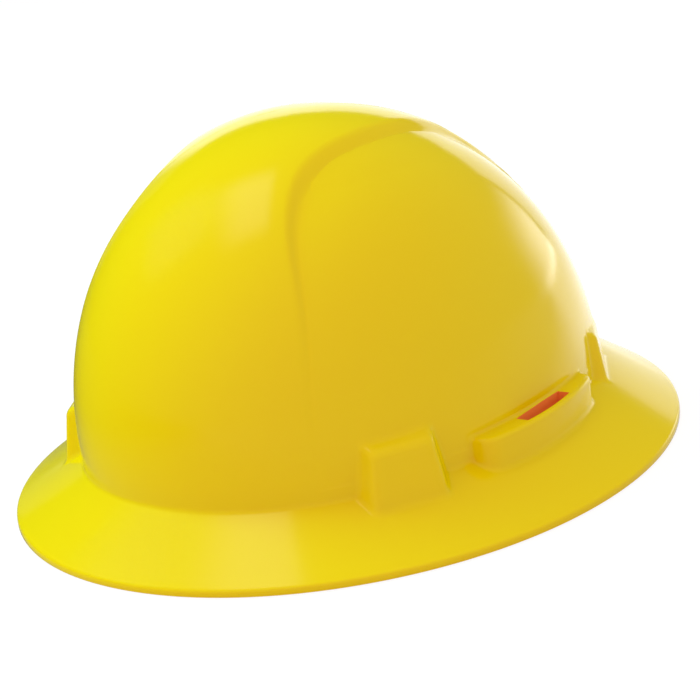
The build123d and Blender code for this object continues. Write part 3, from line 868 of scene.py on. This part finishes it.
def buildStrap(name, side, drop):
    c = strapSize
    normal, lateral, face = lugFrame(side, -1)
    middle = np.array([0, middleY])
    reach = (face - middle) @ normal
    leg = reach - c["plateBack"] - c["gap"] - c["thickness"] / 2
    run = face - normal * c["plateBack"] - middle
    run /= np.linalg.norm(run)
    lean = (run @ lateral) / (run @ normal)
    route = strapRoute(leg, drop)
    ahead = np.gradient(route, axis=0)
    ahead /= np.linalg.norm(ahead, axis=1, keepdims=True)
    thick = np.stack([ahead[:, 1], -ahead[:, 0]], 1)

    # Half of the strap's section, and the same half turned round
    half, width = c["thickness"] / 2, c["width"] / 2 / (run @ normal)
    bevel, edge = c["edgeBevel"], width - c["edgeInset"]
    section = [(edge, -half + bevel), (edge, half - bevel), (width - bevel * 2, half)]
    section += [(width * t, half) for t in (0.5, 0, -0.5)]
    section += [(-width + bevel * 2, half)]
    section += [(-across, -up) for across, up in section]
    rows = []
    for (distance, z), out in zip(route, thick):
        row = []
        for across, up in section:
            d = distance + out[0] * up
            plan = middle + normal * d + lateral * (distance * lean + across)
            row.append((plan[0], plan[1], z + out[1] * up))
        rows.append(row)
    across = [a for a, _ in section] + [section[0][0]]
    along = np.concatenate([[0], np.cumsum(np.linalg.norm(np.diff(route, axis=0), axis=1))])
    return loftObject(name, rows, across, along, webbing)


for name, c in straps.items():
    strap = buildStrap(name, c["side"], c["drop"])
    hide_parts(c["node"])
    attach(strap, "suspension")
print("straps")

# Soft pads on a ring: full in the middle, drawn in at the edges, sewn along two lines
padMake = {
    "back": 1.1,  # how far the pad bulges against the band
    "endTaper": 9,  # mm over which an end is drawn in
    "endShare": 0.72,
    "cornerPower": 0.55,
    "fullPower": 0.75,
    "seamInset": 4.5,
    "seamWidth": 0.8,
    "seamDepth": 0.22,  # share of the fullness
    "step": 1.5,
    "around": 60,
}
padShapes = {
    "brow_sweat_pad": {
        "node": "brow_pad",
        "slot": "brow_fabric",
        "material": browCloth,
        "centre": -22.0,
        "radii": (73.3, 77.3),
        "heights": (9, 39),
        "angles": (198, 342),
        "fill": 0.5,
    },
    "nape_soft_pad": {
        "node": "nape_pad",
        "slot": "nape_foam",
        "material": napeCloth,
        "centre": 13.0,
        "radii": (72.7, 76.7),
        "heights": (8.1, 36.9),
        "angles": (64, 116),
        "fill": 0.6,
    },
}


def buildPad(name, c):
    m = padMake
    low, high = c["heights"]
    inner, outer = c["radii"]
    middle, tall = (low + high) / 2, (high - low) / 2
    first, last = c["angles"]
    length = math.radians(last - first) * outer
    stations = np.linspace(0, 1, int(length / m["step"]))
    backRadius = outer - m["back"]
    seamAt = tall - m["seamInset"]
    rows = []
    for t in stations:
        angle = math.radians(first + (last - first) * t)
        end = min(t, 1 - t) * length / m["endTaper"]
        share = math.sqrt(max(1 - max(1 - end, 0) ** 2, 0.02))
        row = []
        for turn in np.linspace(0, 2 * math.pi, m["around"] + 1)[:-1]:
            up = math.copysign(abs(math.sin(turn)) ** m["cornerPower"], math.sin(turn))
            up *= m["endShare"] + (1 - m["endShare"]) * share
            full = abs(math.cos(turn)) ** m["fullPower"] * share
            if math.cos(turn) < 0:
                lines = (((up * tall - line * seamAt) / m["seamWidth"]) ** 2 for line in (-1, 1))
                sewn = m["seamDepth"] * sum(math.exp(-v) for v in lines)
                radius = backRadius - (backRadius - inner) * full * (1 - sewn)
            else:
                radius = backRadius + m["back"] * full
            place = (radius * math.cos(angle), c["centre"] + radius * math.sin(angle), middle + tall * up)
            row.append(place)
        rows.append(row)
    ring = np.array(rows[len(rows) // 2])
    steps = np.linalg.norm(np.roll(ring, -1, 0) - ring, axis=1)
    return loftObject(name, rows, [0.0, *np.cumsum(steps)], stations * length, c["material"])


for name, c in padShapes.items():
    pad = buildPad(name, c)
    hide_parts(c["node"])
    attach(pad, "suspension")
print("pads")

# Leather patch under the crossing of the straps, with a sewn line near its edge
patchSize = {
    "radius": 15,
    "top": 114.7,
    "drop": 3.0,
    "thickness": 3.0,
    "edgeRound": 0.8,
    "hole": 0.4,
    "sewn": 11.8,
    "seamWidth": 0.6,
    "seamDepth": 0.35,
    "around": 96,
}


def buildPatch():
    c = patchSize
    sphere = (c["radius"] ** 2 + c["drop"] ** 2) / (2 * c["drop"])
    edgeRound = c["edgeRound"]
    flat = c["radius"] - edgeRound
    profile = []
    for r in np.linspace(c["hole"], flat, 26):
        dip = c["seamDepth"] * math.exp(-(((r - c["sewn"]) / c["seamWidth"]) ** 2))
        profile.append((r, c["top"] - sphere + math.sqrt(sphere**2 - r**2) - dip))
    edgeTop, edgeLow = profile[-1][1], c["top"] - c["drop"] - c["thickness"]
    for t in np.linspace(90, -90, 9)[1:-1]:
        r, z = edgeRound * math.cos(math.radians(t)), edgeRound * math.sin(math.radians(t))
        profile.append((flat + r, (edgeTop - edgeRound if t > 0 else edgeLow + edgeRound) + z))
    profile += [(r, edgeLow) for r in np.linspace(flat - edgeRound, c["hole"], 12)]
    turns = np.linspace(0, 2 * math.pi, c["around"] + 1)
    rows = [[(r * math.cos(a), middleY + r * math.sin(a), z) for a in turns[:-1]] for r, z in profile]
    return loftObject("leather_patch", rows, c["radius"] * turns, np.arange(len(rows)) * 1.0, patchLeather)


patch = buildPatch()
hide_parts("crown_patch")
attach(patch, "suspension")
print("patch")


# Direction of an azimuth, 0 at the hat's front and 90 at its left, and an elevation
def towards(azimuth, elevation):
    a, e = math.radians(azimuth), math.radians(elevation)
    return Vector((math.sin(a) * math.cos(e), -math.cos(a) * math.cos(e), math.sin(e)))


# Camera where the photograph's outline and lugs put it: degrees, and its place and lens in mm
cameraPlace = {
    "azimuth": 39.194,
    "elevation": 17.524,
    "roll": -8.040,
    "lens": 92.90,
    "sensor": 36,
    "place": (488.28, -590.73, 285.65),
}


def addCamera():
    c = cameraPlace
    turn, roll = math.radians(c["azimuth"]), math.radians(c["roll"])
    back = towards(c["azimuth"], c["elevation"])
    level = Vector((math.cos(turn), math.sin(turn), 0))
    upright = back.cross(level)
    right = math.cos(roll) * level + math.sin(roll) * upright
    up = -math.sin(roll) * level + math.cos(roll) * upright
    data = bpy.data.cameras.new("camera")
    data.lens = c["lens"]
    data.sensor_width = c["sensor"]
    data.clip_start = 0.05
    data.clip_end = 20
    camera = bpy.data.objects.new("camera", data)
    axes = Matrix((right, up, back)).transposed().to_4x4()
    camera.matrix_world = Matrix.Translation(Vector(c["place"]) * mm) @ axes
    bpy.context.scene.collection.objects.link(camera)
    bpy.context.scene.camera = camera


addCamera()
print("camera")

# Soft boxes: overhead and key to the left of the picture, a strip behind on the right. Distances and
# sizes in metres; a fade is an axis of the box and the places where it starts and is full
softBoxes = {
    "overhead_box": {
        "direction": (-57, 70.5),
        "distance": 3.0,
        "size": (2.3, 1.4),
        "radiance": 1.8,
        "fades": ((0, 0.0, 0.3), (0, 1.0, 0.7), (1, 0.0, 0.6), (1, 1.0, 0.95)),
        "tint": (1, 1, 1),
        "glossy": True,
    },
    "key_box": {  # tinted, because the photograph's yellow is greener on its lit side
        "direction": (-70, 46),
        "distance": 1.8,
        "size": (0.8, 0.8),
        "radiance": 6.9,
        "fades": (),
        "tint": (0.4, 1.0, 0.8),
        "glossy": False,
    },
    "strip_box": {
        "direction": (164.5, 0),
        "distance": 1.6,
        "size": (0.83, 1.1),
        "radiance": 2.5,
        "fades": ((0, 0.0, 0.7), (1, 1.0, 0.6)),
        "tint": (1, 1, 1),
        "glossy": True,
    },
}
lightsAimAt = Vector((0, 0, 0.07))


def addSoftBox(name, c):
    back = towards(*c["direction"])
    data = bpy.data.lights.new(name, "AREA")
    data.shape = "RECTANGLE"
    data.size, data.size_y = c["size"]
    data.energy = c["radiance"] * math.pi * c["size"][0] * c["size"][1]
    data.color = c["tint"]
    if c["fades"]:
        data.use_nodes = True
        tree = data.node_tree
        place = addNode(tree, "ShaderNodeNewGeometry")
        across = addNode(tree, "ShaderNodeSeparateXYZ", {0: place.outputs["Parametric"]})
        level = 1.0
        for axis, start, full in c["fades"]:
            step = addNode(
                tree,
                "ShaderNodeMapRange",
                {"Value": across.outputs[axis], "From Min": start, "From Max": full},
                interpolation_type="SMOOTHSTEP",
            )
            both = addNode(tree, "ShaderNodeMath", {0: step.outputs[0], 1: level}, operation="MULTIPLY")
            level = both.outputs[0]
        tree.links.new(level, tree.nodes["Emission"].inputs["Strength"])
    box = bpy.data.objects.new(name, data)
    box.visible_glossy = c["glossy"]
    box.location = lightsAimAt + back * c["distance"]
    box.rotation_mode = "QUATERNION"
    box.rotation_quaternion = (-back).to_track_quat("-Z", "Y")
    bpy.context.scene.collection.objects.link(box)


for name, c in softBoxes.items():
    addSoftBox(name, c)
print("soft boxes")

# Floor and wall paint: near white with the object's shadow to the camera, and a dim reddish return
# to the object
paintLook = {
    "shadowed": "#6f6f6f",
    "glow": 0.88,
    "return": "#b3b3b3",
    "returnGlow": "#81656c",
}
# What a reflection of floor and wall shows: ramps in metres along a direction, each with its start,
# stop, low and high level. The ramps of a group are multiplied, and the groups are added
floorRamps = (
    (((0.98, -0.17), -0.3, 0.3, 0.05, 0.66),),
    (((-0.956, 0.292), -0.15, -0.03, 0.0, 1.4), ((0.6, 0.8), 0.0, 0.3, 0.0, 1.0)),
)
wallRamps = ((((1.0, 0.0), -4.2, -2.9, 0.15, 1.35),),)
floorCorners = [(-6000, -6000, -0.3), (6000, -6000, -0.3), (6000, 6000, -0.3), (-6000, 6000, -0.3)]
wallCorners = [(-6000, 2100, -1), (-80, 2100, -1), (-80, 2100, 700), (-6000, 2100, 2730)]


# Paint that is clear from behind, so that the underside of the hat shows from below
def studioPaint(name, groups):
    material, tree, bsdf = newMaterial(name)
    tree.nodes.clear()
    where = addNode(tree, "ShaderNodeTexCoord")
    total = 0.0
    for ramps in groups:
        product = 1.0
        for slope, start, stop, low, high in ramps:
            along = addNode(
                tree,
                "ShaderNodeVectorMath",
                {0: where.outputs["Object"], 1: (*slope, 0)},
                operation="DOT_PRODUCT",
            )
            ramp = addNode(
                tree,
                "ShaderNodeMapRange",
                {
                    "Value": along.outputs["Value"],
                    "From Min": start,
                    "From Max": stop,
                    "To Min": low,
                    "To Max": high,
                },
                interpolation_type="SMOOTHSTEP",
            )
            both = addNode(tree, "ShaderNodeMath", {0: ramp.outputs[0], 1: product}, operation="MULTIPLY")
            product = both.outputs[0]
        total = addNode(tree, "ShaderNodeMath", {0: product, 1: total}, operation="ADD").outputs[0]
    ray = addNode(tree, "ShaderNodeLightPath").outputs
    through = {0: ray["Is Camera Ray"], 1: ray["Is Transmission Ray"]}
    direct = addNode(tree, "ShaderNodeMath", through, operation="MAXIMUM")
    seen = addNode(
        tree,
        "ShaderNodeMath",
        {0: direct.outputs[0], 1: ray["Is Glossy Ray"]},
        operation="MAXIMUM",
    )
    coat = addNode(tree, "ShaderNodeBsdfDiffuse", {"Color": srgb(paintLook["return"])})
    bounce = addNode(tree, "ShaderNodeEmission", {"Color": srgb(paintLook["returnGlow"])})
    lit = addNode(tree, "ShaderNodeAddShader", {0: coat.outputs[0], 1: bounce.outputs[0]})
    thin = addNode(tree, "ShaderNodeBsdfDiffuse", {"Color": srgb(paintLook["shadowed"])})
    glow = addNode(tree, "ShaderNodeEmission", {"Strength": paintLook["glow"]})
    shown = addNode(tree, "ShaderNodeAddShader", {0: thin.outputs[0], 1: glow.outputs[0]})
    mirrored = addNode(tree, "ShaderNodeEmission", {"Strength": total})
    view = addNode(
        tree,
        "ShaderNodeMixShader",
        {0: direct.outputs[0], 1: mirrored.outputs[0], 2: shown.outputs[0]},
    )
    front = addNode(tree, "ShaderNodeMixShader", {0: seen.outputs[0], 1: lit.outputs[0], 2: view.outputs[0]})
    clear = addNode(tree, "ShaderNodeBsdfTransparent")
    behind = addNode(tree, "ShaderNodeNewGeometry").outputs["Backfacing"]
    paint = addNode(tree, "ShaderNodeMixShader", {0: behind, 1: front.outputs[0], 2: clear.outputs[0]})
    addNode(tree, "ShaderNodeOutputMaterial", {"Surface": paint.outputs[0]})
    return material


floorPaint = studioPaint("studio_floor_paint", floorRamps)
wallPaint = studioPaint("studio_wall_paint", wallRamps)
floor = meshObject("studio_floor", floorCorners, [(0, 1, 2, 3)], floorPaint, smooth=False)
wall = meshObject("studio_wall", wallCorners, [(0, 1, 2, 3)], wallPaint, smooth=False)
print("floor and wall")

# World: a near white surround, a little brighter from below and from the hat's right, each channel
# by a slope of its own. A reflection shows a darker room instead, and the camera plain white
worldLook = {
    "levels": (1.08, 1.01, 1.0),
    "slopes": ((-0.10, -0.12, -0.30), (-0.23, 0.16, -0.29), (-0.15, 0.05, -0.30)),
    "mirroredTowards": (0.94, -0.33, 0.1),
    "mirrored": (0.02, 0.62),
    "seen": "#ffffff",
}
world = bpy.data.worlds.new("studio")
bpy.context.scene.world = world
world.use_nodes = True
tree = world.node_tree
tree.nodes.clear()
ray = addNode(tree, "ShaderNodeLightPath").outputs
where = addNode(tree, "ShaderNodeTexCoord").outputs["Generated"]
tint = addNode(tree, "ShaderNodeCombineColor")
for channel, (level, slope) in enumerate(zip(worldLook["levels"], worldLook["slopes"])):
    rise = addNode(tree, "ShaderNodeVectorMath", {0: where, 1: slope}, operation="DOT_PRODUCT")
    total = addNode(tree, "ShaderNodeMath", {0: rise.outputs["Value"], 1: level}, operation="ADD")
    tree.links.new(total.outputs[0], tint.inputs[channel])
toward = addNode(
    tree,
    "ShaderNodeVectorMath",
    {0: where, 1: worldLook["mirroredTowards"]},
    operation="DOT_PRODUCT",
)
low, high = worldLook["mirrored"]
room = addNode(
    tree,
    "ShaderNodeMapRange",
    {"Value": toward.outputs["Value"], "From Min": -1.0, "From Max": 1.0, "To Min": low, "To Max": high},
    interpolation_type="SMOOTHSTEP",
)
white = srgb(worldLook["seen"])
fill = addNode(tree, "ShaderNodeBackground", {"Color": tint.outputs[0]})
dark = addNode(tree, "ShaderNodeBackground", {"Color": white, "Strength": room.outputs[0]})
plain = addNode(tree, "ShaderNodeBackground", {"Color": white})
light = addNode(
    tree,
    "ShaderNodeMixShader",
    {0: ray["Is Glossy Ray"], 1: fill.outputs[0], 2: dark.outputs[0]},
)
sky = addNode(
    tree,
    "ShaderNodeMixShader",
    {0: ray["Is Camera Ray"], 1: light.outputs[0], 2: plain.outputs[0]},
)
addNode(tree, "ShaderNodeOutputWorld", {"Surface": sky.outputs[0]})
print("world")

bpy.context.scene.view_settings.view_transform = "Standard"
